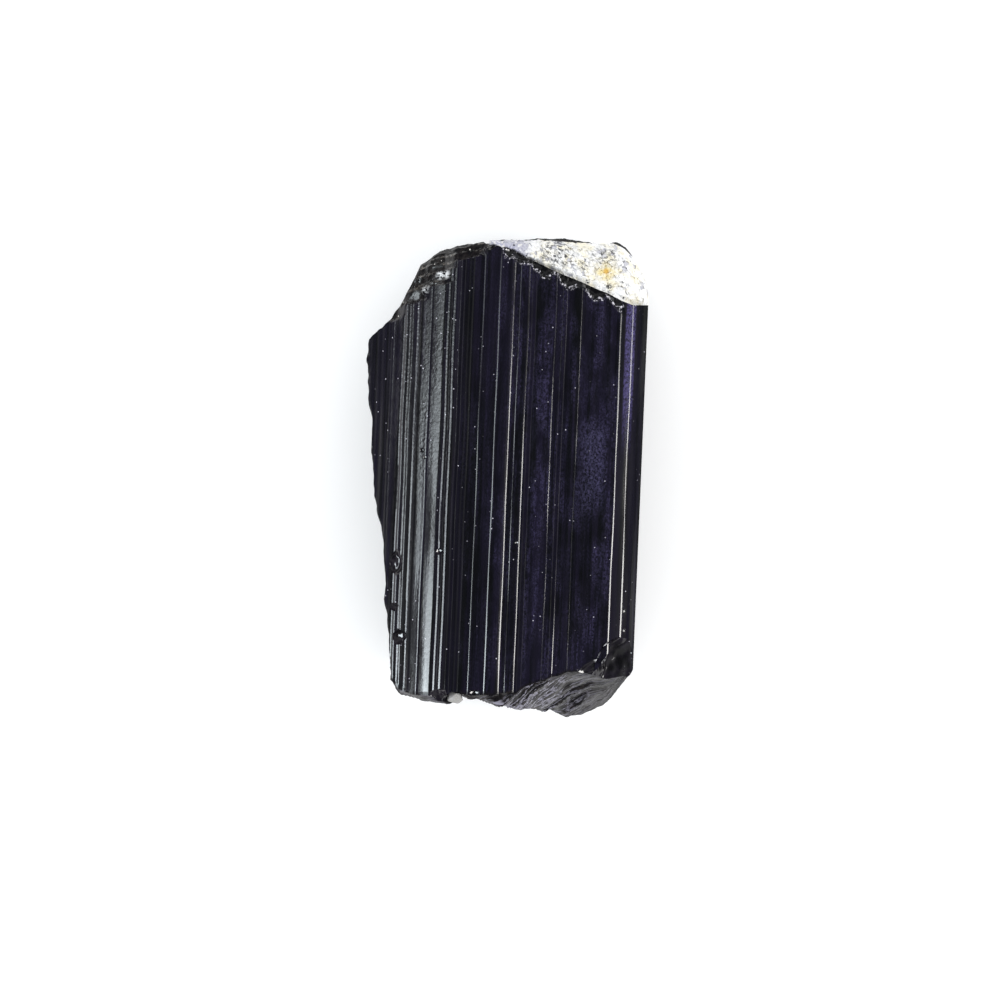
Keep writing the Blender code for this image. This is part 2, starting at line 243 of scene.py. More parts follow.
# ---------------------------------------------------------------- the section with its striations
def top_facets(rng):
    """Edges of the facets across the top, from the left, and each facet's slope in degrees."""
    edges, slopes = [TOP_LEFT[0]], []
    side = 1
    for end, swing, narrow, wide in ZONES:
        while edges[-1] < end - narrow:
            middle = edges[-1] + narrow / 2
            edges.append(min(end, edges[-1] + rng.uniform(narrow, wide)))
            rise = section_top(middle + SLOPE_REACH) - section_top(middle - SLOPE_REACH)
            slope = math.degrees(math.atan(rise / (2 * SLOPE_REACH)))
            slopes.append(slope + side * swing * rng.uniform(*SWING_SHARES))
            side = -side
    facets = list(zip(edges, edges[1:], slopes))
    for centre, width, slope in LINES:
        low, high = centre - width / 2, centre + width / 2
        kept = []
        for a, b, s in facets:
            pieces = ((a, min(b, low)), (max(a, high), b))
            kept += [(p, q, s) for p, q in pieces if q - p > LEAST_FACET]
        line = [(low, high, slope)]
        if CROWNED_WIDTHS[0] < width < CROWNED_WIDTHS[1]:
            line = [(low, centre, slope + LINE_CROWN), (centre, high, slope - LINE_CROWN)]
        facets = sorted(kept + line)
    return facets


def top_profile():
    """x, coarse z and fine detail along the top, from right to left. A facet is cut up near the ledges."""
    facets = top_facets(np.random.default_rng(STRIATION_SEED))
    starts = np.array([a for a, _, _ in facets] + [TOP_RIGHT[0]])
    wanted = np.array([math.tan(math.radians(s)) for _, _, s in facets])
    slopes = wanted.copy()
    dense_x = np.arange(starts[0], starts[-1], DRIFT_STEP)
    kernel = np.hanning(int(DRIFT_WINDOW / DRIFT_STEP) | 1)
    for _ in range(DRIFT_ROUNDS):
        rise = slopes * np.diff(starts) - np.diff(section_top(starts))
        detail = np.concatenate([[0.0], np.cumsum(rise)])
        padded = np.pad(np.interp(dense_x, starts, detail), len(kernel) // 2, mode="edge")
        drift = np.interp(starts, dense_x, np.convolve(padded, kernel / kernel.sum(), mode="valid"))
        slopes = wanted + np.diff(drift) / np.diff(starts)
    detail -= drift
    fade = smooth((starts - starts[0]) / DETAIL_FADE) * smooth((starts[-1] - starts) / DETAIL_FADE)
    x = [starts[-1]]
    for a, b in zip(starts[-2::-1], starts[:0:-1]):
        count = max(1, round((b - a) / LEDGED_COLUMN)) if b < LEDGES_END else 1
        x += list(np.linspace(b, a, count + 1)[1:])
    return np.array(x), section_top(x), np.interp(x, starts, detail * fade)


def side_profile():
    """x and z along the other sides, from the left shoulder round under the crystal to the right corner."""
    rng = np.random.default_rng(STRIATION_SEED + 1)
    corners = SECTION[SECTION.index(TOP_LEFT):] + SECTION[:SECTION.index(TOP_RIGHT) + 1]
    points = []
    for (x0, z0), (x1, z1) in zip(corners, corners[1:]):
        length = math.dist((x0, z0), (x1, z1))
        inward = np.array([z0 - z1, x1 - x0]) / length
        count = max(1, round(length / SIDE_SAMPLE))
        on_base = z0 == 0.0 and z1 == 0.0
        for share in np.arange(count) / count:
            groove = 0.0 if share == 0.0 or on_base else abs(rng.normal(0.0, SIDE_GROOVE))
            points.append(np.array([x0 + (x1 - x0) * share, z0 + (z1 - z0) * share]) + inward * groove)
    points = np.array(points[1:])
    return points[:, 0], points[:, 1]


# ---------------------------------------------------------------- the broken surfaces
def ledged(x):
    return smooth((LEDGES_END - x) / LEDGES_FADE)


def ledge_drop(x, y):
    """How far the ledges lie below the section, how broken the top is there, where its lips get a painted
    highlight, and its glints.
    """
    drop, broken, lip_highlight, glint = 0.0 * x, 0.0 * x, 0.0 * x, 0.0 * x
    for start, height, right in LEDGES:
        riser = start + LEDGE_LEAN * x + LEDGE_WAVE * each(noise.noise, x * 0.9, start, 0.0)
        here = smooth((right - x) / LEDGE_TAPER)
        step = smooth((y - riser) / LEDGE_RISER) * here
        drop = drop + height * step + LEDGE_SLOPE * np.maximum(0.0, y - riser) * here
        broken = np.maximum(broken, step)
        # Each riser's lip gets a pale line of painted highlight, broken up along x.
        clear = smooth(0.5 + 1.6 * each(noise.noise, x * 1.3, start * 3.0, 5.0))
        lip_highlight = np.maximum(lip_highlight, smooth(1.0 - np.abs(y - riser) / LEDGE_LIP) * clear * here)
    rough = LEDGE_LUMP * each(noise.noise, x * 0.9, y * 1.3, 2.0) + hackle(x * 0.6, y, 0.0, *LEDGE_RIDGES)
    for glint_x, glint_y, long, wide in GLINTS:
        inside = smooth(1.6 - np.hypot((x - glint_x) / long, (y - glint_y) / wide))
        rough = rough + ((glint_y - y) * GLINT_TIP - rough) * inside
        glint = np.maximum(glint, inside)
    drop = np.maximum(0.0, drop + rough * broken)
    return drop, broken, lip_highlight, glint * broken


def far_end(x, z):
    """Y of the far end over x and z: the broken end, or the seat of the matrix where that lies nearer."""
    below = section_top(x) - z
    under_ledges = smooth((below - LEDGED_DEPTH) / (FAR_SLOPE_DEPTH - LEDGED_DEPTH))
    ledged_share = LEDGED_SHARE + (1 - LEDGED_SHARE) * under_ledges
    share = smooth(below / FAR_SLOPE_DEPTH)
    share = share + (ledged_share - share) * ledged(x)
    y = interp(FAR_TOP, x) * (1 - share) + interp(FAR_REACH, x) * share
    y = y - END_UNDERCUT * np.maximum(0.0, below - FAR_SLOPE_DEPTH)
    y = y + coarse_relief(x, 0.0, z)
    y = y - hackle(x * 0.45, 0.0, z, *FAR_RIDGES) - hackle(x, 0.0, z, *FAR_FINE_RIDGES)
    seat_top = SEAT_TOP - SEAT_WRAP * np.maximum(0.0, x - SEAT_WRAP_FROM) ** 2
    run = np.maximum(0.0, seat_top - z) / (SEAT_DIP * math.cos(MATRIX_EDGE_LEAN))
    away = 6.0 * smooth((MATRIX_LEFT + 0.15 - x) / 0.3)
    return np.minimum(y, interp(MATRIX_EDGE, x) + 0.02 + run + away)


def near_end(x, z):
    """Y of the near end. Its ridges run across, dipping to the left."""
    below = section_top(x) - z
    share = smooth(below / interp(NEAR_SLOPE_DEPTHS, x))
    y = interp(NEAR_TOP, x) * (1 - share) + interp(NEAR_REACH, x) * share
    y = y + END_UNDERCUT * np.maximum(0.0, below - interp(NEAR_SLOPE_DEPTHS, x))
    y = y + coarse_relief(x, 9.0, z)
    dip = z - NEAR_RIDGE_RISE * x
    rough = hackle(x * 0.10, 0.0, dip, *NEAR_RIDGES) + hackle(x * 0.08, 0.0, dip, *NEAR_FINE_RIDGES)
    return y + rough * (0.25 + 0.75 * smooth(below / 0.6))


def oblique_break(y, z):
    """X of the oblique break over y and z."""
    edge = interp(BREAK_EDGE, y)
    below = np.maximum(0.0, section_top(edge) - z)
    x = edge + BREAK_UNDERCUT * below + coarse_relief(17.0, y, z)
    rough = hackle(0.0, y * 0.6, z, *BREAK_RIDGES) + hackle(0.0, y, z, *BREAK_FINE_RIDGES)
    return x + rough * smooth(below / 0.8)


def cut_back(x, y, z):
    """X brought back to the oblique break. The flat base is squeezed up to it, so that no two points meet."""
    limit = oblique_break(y, z)
    left, right = SECTION[0][0], SECTION[1][0]
    start = np.maximum(left, limit)
    squeezed = start + (x - left) * (right - start) / (right - left)
    on_base = (z <= 0.0) & (x <= right)
    return np.where(on_base, squeezed, np.maximum(x, limit))


# ---------------------------------------------------------------- the crystal's mesh
def inside_ring(points, ring):
    """Which points are inside the ring, by a margin."""
    ahead = np.roll(ring, -1, axis=0)
    rise = ahead[:, 1] - ring[:, 1]
    rise[rise == 0.0] = 1e-12
    keep = []
    for p in points:
        crosses = (ring[:, 1] > p[1]) != (ahead[:, 1] > p[1])
        at = ring[:, 0] + (p[1] - ring[:, 1]) * (ahead[:, 0] - ring[:, 0]) / rise
        odd = np.count_nonzero(crosses & (p[0] < at)) % 2 == 1
        keep.append(odd and ((ring - p) ** 2).sum(axis=1).min() > CAP_MARGIN ** 2)
    return points[np.array(keep)]


def cap(ring, ring_start, inside_start):
    """Points x, z of a fine grid inside an end's ring, and the triangles that close the end with them."""
    low, high = ring.min(axis=0), ring.max(axis=0)
    grid = []
    bands = ((CAP_SPACING_LOWER, low[1], CAP_UPPER_FROM), (CAP_SPACING_UPPER, CAP_UPPER_FROM, high[1]))
    for spacing, bottom, top in bands:
        for index, z in enumerate(np.arange(bottom + spacing / 2, top, spacing * math.sqrt(0.75))):
            shift = spacing / 2 * (index % 2)
            grid += [(x, z) for x in np.arange(low[0] + shift, high[0], spacing)]
    inside = inside_ring(np.array(grid), ring)
    points = [Vector(p) for p in np.vstack([ring, inside])]
    count = len(ring)
    edges = [(i, (i + 1) % count) for i in range(count)]
    verts, _, faces, _, _, _ = geometry.delaunay_2d_cdt(points, edges, [], 1, 1e-6)
    if len(verts) != len(points):
        raise RuntimeError("an end's outline crosses itself")
    numbers = np.concatenate([ring_start + np.arange(count), inside_start + np.arange(len(inside))])
    return inside, [tuple(int(numbers[i]) for i in face) for face in faces]


def wall_shares():
    shares, start = [0.0], 0.0
    for end, count in WALL_STRETCHES:
        shares += list(np.linspace(start, end, count + 1)[1:])
        start = end
    return shares


def wall_rows():
    """Points of the prism's wall, row by row from the near end, and a dictionary of marks for each point."""
    top_x, top_z, top_detail = top_profile()
    side_x, side_z = side_profile()
    x, z = np.concatenate([top_x, side_x]), np.concatenate([top_z, side_z])
    detail = np.concatenate([top_detail, 0 * side_x])
    on_top = np.concatenate([np.ones(len(top_x)), np.zeros(len(side_x))])
    far_y, near_y = far_end(x, z), near_end(x, z)
    far_y = far_end(cut_back(x, far_y, z), z)
    near_y = near_end(cut_back(x, near_y, z), z)
    rows, marks = [], {"broken": [], "band": [], "lip_highlight": [], "glint": []}
    for share in wall_shares():
        y = near_y + (far_y - near_y) * share
        wander = each(noise.noise, x * 0.6, y * 0.13, 1.0) * on_top * smooth((TOP_RIGHT[0] - x) / 0.8)
        row_x = x + LINE_WANDER * wander
        swell = 1.0 + LINE_SWELL * each(noise.noise, x * 2.1, y * 0.11, 3.0)
        ahead = interp(MATRIX_EDGE, row_x) - y - ragged(row_x, BAND_RAGGED)
        bevel = smooth(1.0 - ahead / BAND_WIDTH) * on_top * smooth((row_x - BAND_LEFT) / BAND_LEFT_FADE)
        bevel = bevel * smooth((BAND_RIGHT - row_x) / BAND_RIGHT_FADE)
        drop, ledge, lip_highlight, glint = (value * on_top for value in ledge_drop(row_x, y))
        row_z = z + detail * swell * (1.0 - ledge) - BAND_DEPTH * bevel - drop
        cut_x = cut_back(row_x, y, row_z)
        rows.append(np.stack([cut_x, y, row_z], axis=1))
        broken = np.maximum(ledge, (cut_x > row_x + 1e-6) & (z > 0.0))
        for name, values in (("broken", broken), ("band", bevel), ("lip_highlight", lip_highlight), ("glint", glint)):
            marks[name].append(values)
    for row, end in ((rows[0], near_end), (rows[-1], far_end)):
        row[:, 1] = end(row[:, 0], row[:, 2])
    marks["broken"][0][:] = marks["broken"][-1][:] = 1.0
    return np.array(rows), marks


def build_crystal():
    rows, marks = wall_rows()
    count = rows.shape[1]
    wall = rows.reshape(-1, 3)
    faces = []
    for base in range(0, len(wall) - count, count):
        for j in range(count):
            k = (j + 1) % count
            faces.append((base + j, base + k, base + count + k, base + count + j))
    points = [wall]
    for row, end in ((0, near_end), (len(rows) - 1, far_end)):
        start = sum(len(part) for part in points)
        inside, closing = cap(rows[row][:, ::2], row * count, start)
        points.append(np.stack([inside[:, 0], end(inside[:, 0], inside[:, 1]), inside[:, 1]], axis=1))
        faces += closing
    points = np.vstack(points)
    inner = len(points) - len(wall)
    obj = mesh_object("tourmaline_prism", points, faces)
    for name, values in marks.items():
        on_ends = np.full(inner, 1.0 if name == "broken" else 0.0)
        add_attribute(obj, name, np.concatenate([np.concatenate(values), on_ends]))
    for material in (tourmaline_material(), shell_material()):
        obj.data.materials.append(material)
    carve(obj, bite_cutter())
    obj.data.shade_smooth()
    obj.data.set_sharp_from_angle(angle=SHARP)
    return obj


def mesh_object(name, points, faces):
    mesh = bpy.data.meshes.new(name)
    mesh.from_pydata((points * MM).tolist(), [], faces)
    obj = bpy.data.objects.new(name, mesh)
    bpy.context.scene.collection.objects.link(obj)
    bm = bmesh.new()
    bm.from_mesh(mesh)
    bmesh.ops.recalc_face_normals(bm, faces=bm.faces[:])
    bm.to_mesh(mesh)
    bm.free()
    return obj


def add_attribute(obj, name, values):
    attribute = obj.data.attributes.new(name, "FLOAT", "POINT")
    attribute.data.foreach_set("value", np.asarray(values, np.float32))


def bite_cutter():
    """All the conchoidal bites as one mesh of rippled balls, whose faces take the second material."""
    bm = bmesh.new()
    for index, (centre, radii, turn, subdivisions, flat_depth) in enumerate(BITES):
        ball = bmesh.ops.create_icosphere(bm, subdivisions=subdivisions, radius=1.0)["verts"]
        turned = Matrix.Rotation(math.radians(turn), 3, "Z")
        flats = []
        for flat in BITE_FLATS:
            stretched = [a * r for a, r in zip(turned.inverted() @ flat, radii)]
            flats.append(Vector(stretched).normalized())
        kept = 1 - flat_depth / min(radii)
        hit = (Vector((0, 0, TOP - 3.0)) - Vector(centre)).normalized()
        for vert in ball:
            away = vert.co.angle(hit)
            swell = 1 + BITE_ROUGHNESS * noise.noise(vert.co * 1.4 + Vector((index * 5, 0, 0)))
            swell += BITE_ROUGHNESS * 0.4 * noise.noise(vert.co * 3.4 + Vector((0, index * 5, 0)))
            swell += BITE_RIPPLE * math.sin(BITE_RIPPLES * away) * min(1.0, away)
            if flat_depth:
                swell = min([swell] + [kept / max(0.1, flat.dot(vert.co)) for flat in flats])
            vert.co = (turned @ Vector(vert.co[i] * radii[i] * swell for i in range(3)) + Vector(centre)) * MM
    for face in bm.faces:
        face.material_index = 1
    mesh = bpy.data.meshes.new("bites")
    bm.to_mesh(mesh)
    bm.free()
    cutter = bpy.data.objects.new("bites", mesh)
    bpy.context.scene.collection.objects.link(cutter)
    return cutter


def carve(obj, cutter):
    """Takes the cutter's shape out of the object and removes the cutter."""
    modifier = obj.modifiers.new("bites", "BOOLEAN")
    modifier.operation = "DIFFERENCE"
    modifier.solver = "MANIFOLD"
    modifier.object = cutter
    before = len(obj.data.polygons)
    carved = bpy.data.meshes.new_from_object(obj.evaluated_get(bpy.context.evaluated_depsgraph_get()))
    if len(carved.polygons) in (0, before):
        raise RuntimeError("the bites cut nothing")
    obj.modifiers.clear()
    obj.data = carved
    bpy.data.objects.remove(cutter)


# ---------------------------------------------------------------- the albite
GRAIN_SIZE = 0.36
GRAIN_TONE = 0.30
CRUST_COLUMNS, CRUST_ROWS = 250, 84
ALBITE_SHARP = math.radians(30)
# Faces of the lone grain: direction, and distance from its middle as a share of its size.
GRAIN_FACES = [
    ((0.95, 0.25, 0.10), 0.80), ((-0.95, 0.20, 0.20), 0.78), ((0.10, 0.97, 0.15), 0.80),
    ((-0.25, -0.95, 0.10), 0.78), ((0.15, -0.20, 0.97), 0.62), ((0.62, -0.62, 0.48), 0.80),
    ((-0.50, 0.45, 0.74), 0.76),
]


def seat_height(x, y):
    behind = np.maximum(0.0, y - interp(MATRIX_EDGE, x)) * math.cos(MATRIX_EDGE_LEAN)
    return SEAT_TOP - SEAT_DIP * behind - SEAT_WRAP * np.maximum(0.0, x - SEAT_WRAP_FROM) ** 2


def grains(x, y, size):
    """Height, random value and nearness to a gap of blocky grains, for columns of places."""
    height, value, gap = np.zeros(len(x)), np.zeros(len(x)), np.zeros(len(x))
    for i, place in enumerate(zip(x / size, y / size, 0 * x)):
        place = Vector(place)
        place += Vector((noise.noise(place * 0.9), noise.noise(place * 0.9 + Vector((7, 3, 1))), 0)) * 0.5
        distance, centre = noise.voronoi(place)
        random = noise.cell_vector(centre[0] * 37.0)
        lean = (place - centre[0]).dot(Vector((random[0] - 0.5, random[1] - 0.5, 0.0)))
        gap[i] = 1.0 - min(1.0, (distance[1] - distance[0]) / 0.16)
        value[i] = random[2]
        height[i] = random[2] + 1.3 * lean - 0.30 * gap[i] ** 2
    return height, value, gap


def build_crust():
    u, v = np.meshgrid(np.linspace(0, 1, CRUST_COLUMNS), np.linspace(0, 1, CRUST_ROWS))
    u, v = u.ravel(), v.ravel()
    x = MATRIX_LEFT + (MATRIX_RIGHT - MATRIX_LEFT) * u
    wander = ragged(x, CRUST_RAGGED)
    low, high = interp(MATRIX_EDGE, x) + wander, interp(MATRIX_OUTER, x) + wander * 0.6
    y = low + (high - low) * v
    height, value, gap = grains(x, y, GRAIN_SIZE)
    fine, _, _ = grains(x + 40.0, y, GRAIN_SIZE * 0.45)
    lumpy = 0.3 + 0.7 * smooth((x - 0.6) / 2.0)
    rise = MATRIX_RISE - 0.10 + MATRIX_CROWN * np.sin(math.pi * v)
    rise = rise + (0.24 * (height - 0.5) + 0.07 * (fine - 0.5)) * lumpy
    edge = smooth(v / 0.16) * smooth((1.0 - v) / 0.20) * smooth(u / 0.03) * smooth((1.0 - u) / 0.02)
    rise = rise * (0.35 + 0.65 * edge)
    above = np.minimum(seat_height(x, y) + rise, MATRIX_HIGHEST - 0.15 + 0.15 * np.tanh(rise))
    under = seat_height(x, y) - 0.15
    points = np.vstack([np.stack([x, y, above], 1), np.stack([x, y, under], 1)])
    size = CRUST_COLUMNS * CRUST_ROWS
    faces = []
    for r in range(CRUST_ROWS - 1):
        for a in range(r * CRUST_COLUMNS, r * CRUST_COLUMNS + CRUST_COLUMNS - 1):
            quad = (a, a + 1, a + CRUST_COLUMNS + 1, a + CRUST_COLUMNS)
            faces += [quad, tuple(size + i for i in reversed(quad))]
    last = CRUST_COLUMNS - 1
    border = list(range(last)) + [r * CRUST_COLUMNS + last for r in range(CRUST_ROWS - 1)]
    border += [size - 1 - c for c in range(last)] + [r * CRUST_COLUMNS for r in range(CRUST_ROWS - 1, 0, -1)]
    faces += [(a, size + a, size + b, b) for a, b in zip(border, border[1:] + border[:1])]
    obj = mesh_object("albite_crust", points, faces)
    for name, values in (("grain", value), ("gap", gap)):
        add_attribute(obj, name, np.concatenate([values, values]))
    obj.data.shade_smooth()
    obj.data.set_sharp_from_angle(angle=ALBITE_SHARP)
    return obj


def build_grain():
    """A blocky cleavage fragment: a ball cut back to each of the grain's faces, with worn edges."""
    bm = bmesh.new()
    bmesh.ops.create_icosphere(bm, subdivisions=5, radius=1.0)
    for vert in bm.verts:
        reach = min(away / max(0.05, Vector(normal).dot(vert.co)) for normal, away in GRAIN_FACES)
        reach = min(1.0, reach) * (1 + 0.05 * noise.noise(vert.co * 2.3) + 0.02 * noise.noise(vert.co * 7.0))
        vert.co = Vector(vert.co[i] * CHIP_SIZE[i] * reach + CHIP_CENTRE[i] for i in range(3)) * MM
    mesh = bpy.data.meshes.new("albite_grain")
    bm.to_mesh(mesh)
    bm.free()
    obj = bpy.data.objects.new("albite_grain", mesh)
    bpy.context.scene.collection.objects.link(obj)
    add_attribute(obj, "grain", np.full(len(mesh.vertices), GRAIN_TONE))
    add_attribute(obj, "gap", np.zeros(len(mesh.vertices)))
    obj.data.shade_smooth()
    obj.data.set_sharp_from_angle(angle=ALBITE_SHARP)
    return obj


# ---------------------------------------------------------------- materials
TOURMALINE_IOR, ALBITE_IOR = 1.63, 1.53
GLASS_SPECULAR = 0.5
# Depths of the bumps: the crystal's fine lines, its etching, its broken faces, its bites and the albite.
LINES_BUMP, ETCHED_BUMP, BROKEN_BUMP, SHELL_BUMP, ALBITE_BUMP = 0.003, 0.014, 0.045, 0.014, 0.07
# Stretches of y over which the near end's face and the far end's ledges give way to the prism.
NEAR_FACE, FAR_LEDGES = (-16.6, -15.6), (10.0, 12.0)

BLACK, NAVY = (0.0022, 0.0026, 0.0034), (0.0060, 0.0052, 0.0115)
VEIL_VIOLET, CLOUD_VIOLET = (0.050, 0.043, 0.100), (0.060, 0.055, 0.115)
# The pale specks on the prism are partly dust and partly painted glints.
STRIP_VIOLET, DUST_AND_GLINT_PALE = (0.085, 0.070, 0.200), (0.62, 0.60, 0.68)
# The band's black is painted shade, darker than the crystal's own colour there.
BAND_PAINTED_SHADE, CRUMB_PALE = (0.003, 0.003, 0.004), (0.66, 0.64, 0.70)
RUBBLE_BLACK, RUBBLE_BROWN = (0.004, 0.004, 0.005), (0.018, 0.015, 0.015)
# Painted highlights: the pale brown on the ledge lips and the lilac-grey on the near face's ridges.
LIP_HIGHLIGHT_BROWN, RIDGE_HIGHLIGHT_LILAC = (0.17, 0.15, 0.13), (0.27, 0.26, 0.32)
# White painted glints on the ledges, and cream specks there that are partly dust and partly painted sparkle.
PAINTED_GLINT_WHITE, DUST_AND_SPARKLE_CREAM = (0.88, 0.90, 0.92), (0.75, 0.72, 0.66)
# The white on the bites is a painted highlight along the lower right one's edge.
SHELL_BLACK, SHELL_VIOLET, GLINT_STREAK_WHITE = (0.004, 0.004, 0.005), (0.012, 0.010, 0.016), (0.88, 0.88, 0.90)
ALBITE_WHITE, ALBITE_CREAM = (0.90, 0.90, 0.90), (0.88, 0.83, 0.68)
# The grey in the albite's gaps is painted shade between the grains.
GLASSY_GREY, GAP_PAINTED_SHADE, TIP_GREY = (0.58, 0.58, 0.63), (0.42, 0.41, 0.41), (0.38, 0.38, 0.48)
DIRT_BLACK, SPECK_BLACK, LONE_GREY = (0.05, 0.05, 0.055), (0.05, 0.05, 0.06), (0.33, 0.32, 0.29)
HALO_YELLOW, STAIN_ORANGE = (0.80, 0.68, 0.34), (0.68, 0.40, 0.04)
BOARD_WHITE, BOARD_WHITER = (0.91, 0.91, 0.91), (0.94, 0.94, 0.94)

# Spots seen from above: x, y, reach and fade.
# Painted glints on the far ledges.
PAINTED_GLINT_SPOTS = [(-5.85, 16.4, 0.10, 0.38), (-5.25, 16.5, 0.10, 0.38), (-6.95, 15.15, 0.12, 0.4)]
# Streaks of painted highlight along the lower right bite's edge.
PAINTED_GLINT_STREAKS = [(8.95, -15.25, 0.20, 0.45), (9.4, -14.3, 0.12, 0.35)]
SOOT_SPOTS = [(4.0, 18.9, 0.5, 1.6), (6.2, 17.8, 0.1, 0.8), (8.4, 16.0, 0.1, 0.5)]
FAINT_SOOT, FAINT_SOOT_SHARE = (8.2, 18.8, 0.3, 1.5), 0.75
STAIN_HALO, STAIN_CORE, STAIN_CORE_SHARE = (8.1, 17.3, 0.2, 1.2), (8.15, 17.35, 0.12, 0.25), 0.9
LONE_GRAIN = (*CHIP_CENTRE[:2], 1.2, 0.3)


class Nodes:
    """A short way to build a node tree: each call adds a node and returns its output."""

    def __init__(self, material):
        material.use_nodes = True
        self.tree = material.node_tree
        self.shader = self.tree.nodes["Principled BSDF"]

    def link(self, source, target):
        self.tree.links.new(source, target)

    def feed(self, socket, value):
        if isinstance(value, bpy.types.NodeSocket):
            self.link(value, socket)
        else:
            socket.default_value = value

    def add(self, kind, **settings):
        node = self.tree.nodes.new("ShaderNode" + kind)
        for key, value in settings.items():
            setattr(node, key, value)
        return node

    def place(self, scale, turn=0.0):
        """Object coordinates in millimetres, turned about Y by an angle, then times a scale for each axis."""
        vector = self.add("TexCoord").outputs["Object"]
        for key, value in (("Rotation", (0.0, turn, 0.0)), ("Scale", [s / MM for s in scale])):
            mapping = self.add("Mapping")
            self.link(vector, mapping.inputs["Vector"])
            mapping.inputs[key].default_value = value
            vector = mapping.outputs["Vector"]
        return vector

    def noise(self, scale, detail=2.0, roughness=0.5, stretch=(1, 1, 1), turn=0.0):
        """Noise of a scale per millimetre."""
        node = self.add("TexNoise")
        self.link(self.place([scale * s for s in stretch], turn), node.inputs["Vector"])
        node.inputs["Scale"].default_value = 1.0
        node.inputs["Detail"].default_value = detail
        node.inputs["Roughness"].default_value = roughness
        return node.outputs["Fac"]

    def voronoi(self, scale, output="Distance", **settings):
        node = self.add("TexVoronoi", **settings)
        self.link(self.place([scale] * 3), node.inputs["Vector"])
        node.inputs["Scale"].default_value = 1.0
        return node.outputs[output]

    def attribute(self, name):
        return self.add("Attribute", attribute_name=name).outputs["Fac"]

    def spread(self, value, low, high, to_low=0.0, to_high=1.0):
        node = self.add("MapRange", interpolation_type="SMOOTHSTEP")
        for socket, item in zip(node.inputs, (value, low, high, to_low, to_high)):
            self.feed(socket, item)
        return node.outputs["Result"]

    def maths(self, operation, first, second=0.0):
        node = self.add("Math", operation=operation)
        self.feed(node.inputs[0], first)
        self.feed(node.inputs[1], second)
        return node.outputs["Value"]

    def times(self, *factors):
        result = factors[0]
        for factor in factors[1:]:
            result = self.maths("MULTIPLY", result, factor)
        return result

    def mix(self, share, first, second):
        node = self.add("Mix", data_type="RGBA")
        self.feed(node.inputs["Factor"], share)
        for socket, item in ((node.inputs[6], first), (node.inputs[7], second)):
            self.feed(socket, item if isinstance(item, bpy.types.NodeSocket) else (*item, 1.0))
        return node.outputs[2]

    def blend(self, share, first, second):
        node = self.add("Mix", data_type="FLOAT")
        for socket, item in zip((node.inputs[0], node.inputs[2], node.inputs[3]), (share, first, second)):
            self.feed(socket, item)
        return node.outputs[0]

    def coordinate(self, axis):
        """One object coordinate in millimetres."""
        split = self.add("SeparateXYZ")
        self.link(self.place((1, 1, 1)), split.inputs[0])
        return split.outputs[axis]

    def near(self, x, y, reach, fade):
        """1 within a reach of a place on the top, falling to 0 over the fade."""
        dx = self.maths("SUBTRACT", self.coordinate("X"), x)
        dy = self.maths("SUBTRACT", self.coordinate("Y"), y)
        square = self.maths("ADD", self.times(dx, dx), self.times(dy, dy))
        return self.spread(self.maths("SQRT", square), reach, reach + fade, 1.0, 0.0)

    def spots(self, places):
        """1 within any of the spots."""
        result = self.near(*places[0])
        for place in places[1:]:
            result = self.maths("MAXIMUM", result, self.near(*place))
        return result

    def bump(self, height, distance, normal=None):
        node = self.add("Bump")
        node.inputs["Strength"].default_value = 1.0
        node.inputs["Distance"].default_value = distance * MM
        self.link(height, node.inputs["Height"])
        if normal is not None:
            self.link(normal, node.inputs["Normal"])
        return node.outputs["Normal"]


def tourmaline_material():
    """Black to violet glass, striped along the crystal, with a band painted black as shade, etched and broken
    parts, and painted highlights and glints.
    """
    material = bpy.data.materials.new("tourmaline_black_violet")
    n = Nodes(material)
    broken = n.attribute("broken")
    x, y = n.coordinate("X"), n.coordinate("Y")
    body = band_colour(n, prism_colour(n, x, y))
    n.link(n.mix(broken, body, rubble_colour(n, y)), n.shader.inputs["Base Color"])
    matt = n.maths("SUBTRACT", broken, n.attribute("glint"))
    etched = etching(n, x, y, broken)
    n.link(tourmaline_roughness(n, matt, etched), n.shader.inputs["Roughness"])
    n.link(n.blend(broken, GLASS_SPECULAR, broken_specular(n, x, y)), n.shader.inputs["Specular IOR Level"])
    n.shader.inputs["IOR"].default_value = TOURMALINE_IOR
    n.link(tourmaline_relief(n, y, matt, etched), n.shader.inputs["Normal"])
    return material


def band_colour(n, body):
    """Painted shade: the band beside the matrix is painted black, with pale crumbs along its edge."""
    band = n.attribute("band")
    body = n.mix(n.spread(band, 0.02, 0.35), body, BAND_PAINTED_SHADE)
    crumbs = n.times(n.spread(band, 0.0, 0.10), n.spread(band, 0.25, 0.6, 1.0, 0.0))
    crumbs = n.times(crumbs, n.spread(n.noise(3.8, 3.0, 0.75), 0.53, 0.60))
    return n.mix(crumbs, body, CRUMB_PALE)


def etching(n, x, y, broken):
    """How etched the prism is: most on its upper left part, and nowhere broken."""
    smooth_part = n.maths("SUBTRACT", 1.0, broken)
    etched = n.times(n.spread(x, -4.6, -3.6, 1.0, 0.2), n.spread(y, -10.0, 9.0, 0.30, 1.0), smooth_part)
    return n.times(etched, n.spread(x, -10.2, -9.4, 0.1, 1.0))


def tourmaline_roughness(n, matt, etched):
    gloss = n.spread(n.noise(1.6, 3.0, 0.6, (1.0, 0.12, 1.0)), 0.3, 0.75, 0.08, 0.17)
    gloss = n.maths("ADD", gloss, n.times(etched, n.spread(n.noise(1.1, 3.0, 0.7), 0.3, 0.7, 0.0, 0.13)))
    return n.blend(matt, gloss, n.spread(n.noise(1.3, 3.0, 0.6), 0.35, 0.65, 0.05, 0.16))


